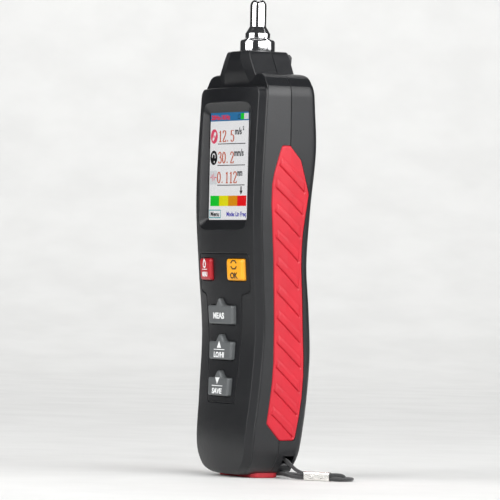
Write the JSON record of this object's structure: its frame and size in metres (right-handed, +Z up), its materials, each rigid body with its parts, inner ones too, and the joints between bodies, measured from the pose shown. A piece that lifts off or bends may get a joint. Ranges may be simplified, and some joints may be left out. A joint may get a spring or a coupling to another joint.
{
  "type": "handheld vibration meter",
  "caption": "Handheld vibration meter with a screw-in stainless probe, colour display, sprung keys, rubber side grips, battery door and wrist strap.",
  "frame": {"origin": "on the ground under the middle of the casing, in the probe's axis", "axes": "+Z up along the probe, -Y out of the display, +X towards the strap side"},
  "size_m": [0.1092, 0.0646, 0.2221],
  "materials": {
    "shell_plastic": "fine spark texture",
    "plate_plastic": "fine spark texture",
    "grip_rubber": "smooth satin",
    "pad_rubber": "smooth satin",
    "red_key": "satin",
    "yellow_key": "satin",
    "grey_key": "satin",
    "window_glass": "polished",
    "foam": "foam",
    "display": "polished",
    "light_plastic": "moulded",
    "flex_film": "film",
    "board": "solder mask",
    "chips": "moulded",
    "screw_steel": "zinc plated",
    "probe_steel": "polished stainless",
    "inner_steel": "turned",
    "seal_rubber": "moulded",
    "ceramic": "fired",
    "brass": "turned",
    "cell_wrap": "printed sleeve",
    "contact_metal": "stamped",
    "strap_braid": "round braid",
    "crimp_metal": "pressed"
  },
  "bodies": {
    "casing": {"front_shell": "shell_plastic", "rear_shell": "shell_plastic", "key_plate": "plate_plastic", "grip_right": "grip_rubber", "grip_left": "grip_rubber", "bottom_pad": "pad_rubber", "case_screws": "screw_steel", "display_window": "window_glass", "display_gasket": "foam", "display_module": "display", "display_frame": "light_plastic", "display_flex": "flex_film", "main_board": "board", "board_chips": "chips", "board_screws": "screw_steel", "buzzer": "chips", "key_switches": "chips", "sensor_housing": "probe_steel", "sensor_nut": "inner_steel", "sensor_seal": "seal_rubber", "sensor_plug": "seal_rubber", "piezo_rings": "ceramic", "seismic_mass": "brass", "stack_bolt": "inner_steel", "sensor_lead": "flex_film", "batteries": "cell_wrap", "battery_springs": "contact_metal", "battery_plates": "contact_metal", "door_pin": "inner_steel", "strap_bar": "shell_plastic", "strap_leash": "strap_braid", "strap_crimp": "crimp_metal", "strap_loop": "strap_braid"},
    "power_key": {"key_power": "red_key", "plunger_power": "light_plastic"},
    "ok_key": {"key_ok": "yellow_key", "plunger_ok": "light_plastic"},
    "measure_key": {"key_measure": "grey_key", "plunger_measure": "light_plastic"},
    "up_key": {"key_up": "grey_key", "plunger_up": "light_plastic"},
    "down_key": {"key_down": "grey_key", "plunger_down": "light_plastic"},
    "door": {"battery_door": "shell_plastic"},
    "tip": {"probe_tip": "probe_steel"}
  },
  "joints": [
    {"name": "power_key_press", "type": "slide", "parent": "casing", "child": "power_key", "axis": [0, 1, 0], "range_m": [0, 0.0006], "stiffness_N_per_m": 2500},
    {"name": "ok_key_press", "type": "slide", "parent": "casing", "child": "ok_key", "axis": [0, 1, 0], "range_m": [0, 0.0006], "stiffness_N_per_m": 2500},
    {"name": "measure_key_press", "type": "slide", "parent": "casing", "child": "measure_key", "axis": [0, 1, 0], "range_m": [0, 0.0006], "stiffness_N_per_m": 2500},
    {"name": "up_key_press", "type": "slide", "parent": "casing", "child": "up_key", "axis": [0, 1, 0], "range_m": [0, 0.0006], "stiffness_N_per_m": 2500},
    {"name": "down_key_press", "type": "slide", "parent": "casing", "child": "down_key", "axis": [0, 1, 0], "range_m": [0, 0.0006], "stiffness_N_per_m": 2500},
    {"name": "battery_door_swing", "type": "hinge", "parent": "casing", "child": "door", "pos_m": [0, 0.013, 0.0136], "axis": [-1, 0, 0], "range_deg": [0, 70]},
    {"name": "probe_tip_turn", "type": "hinge", "parent": "casing", "child": "tip", "pos_m": [0, 0, 0.2], "axis": [0, 0, 1], "continuous": true}
  ]
}
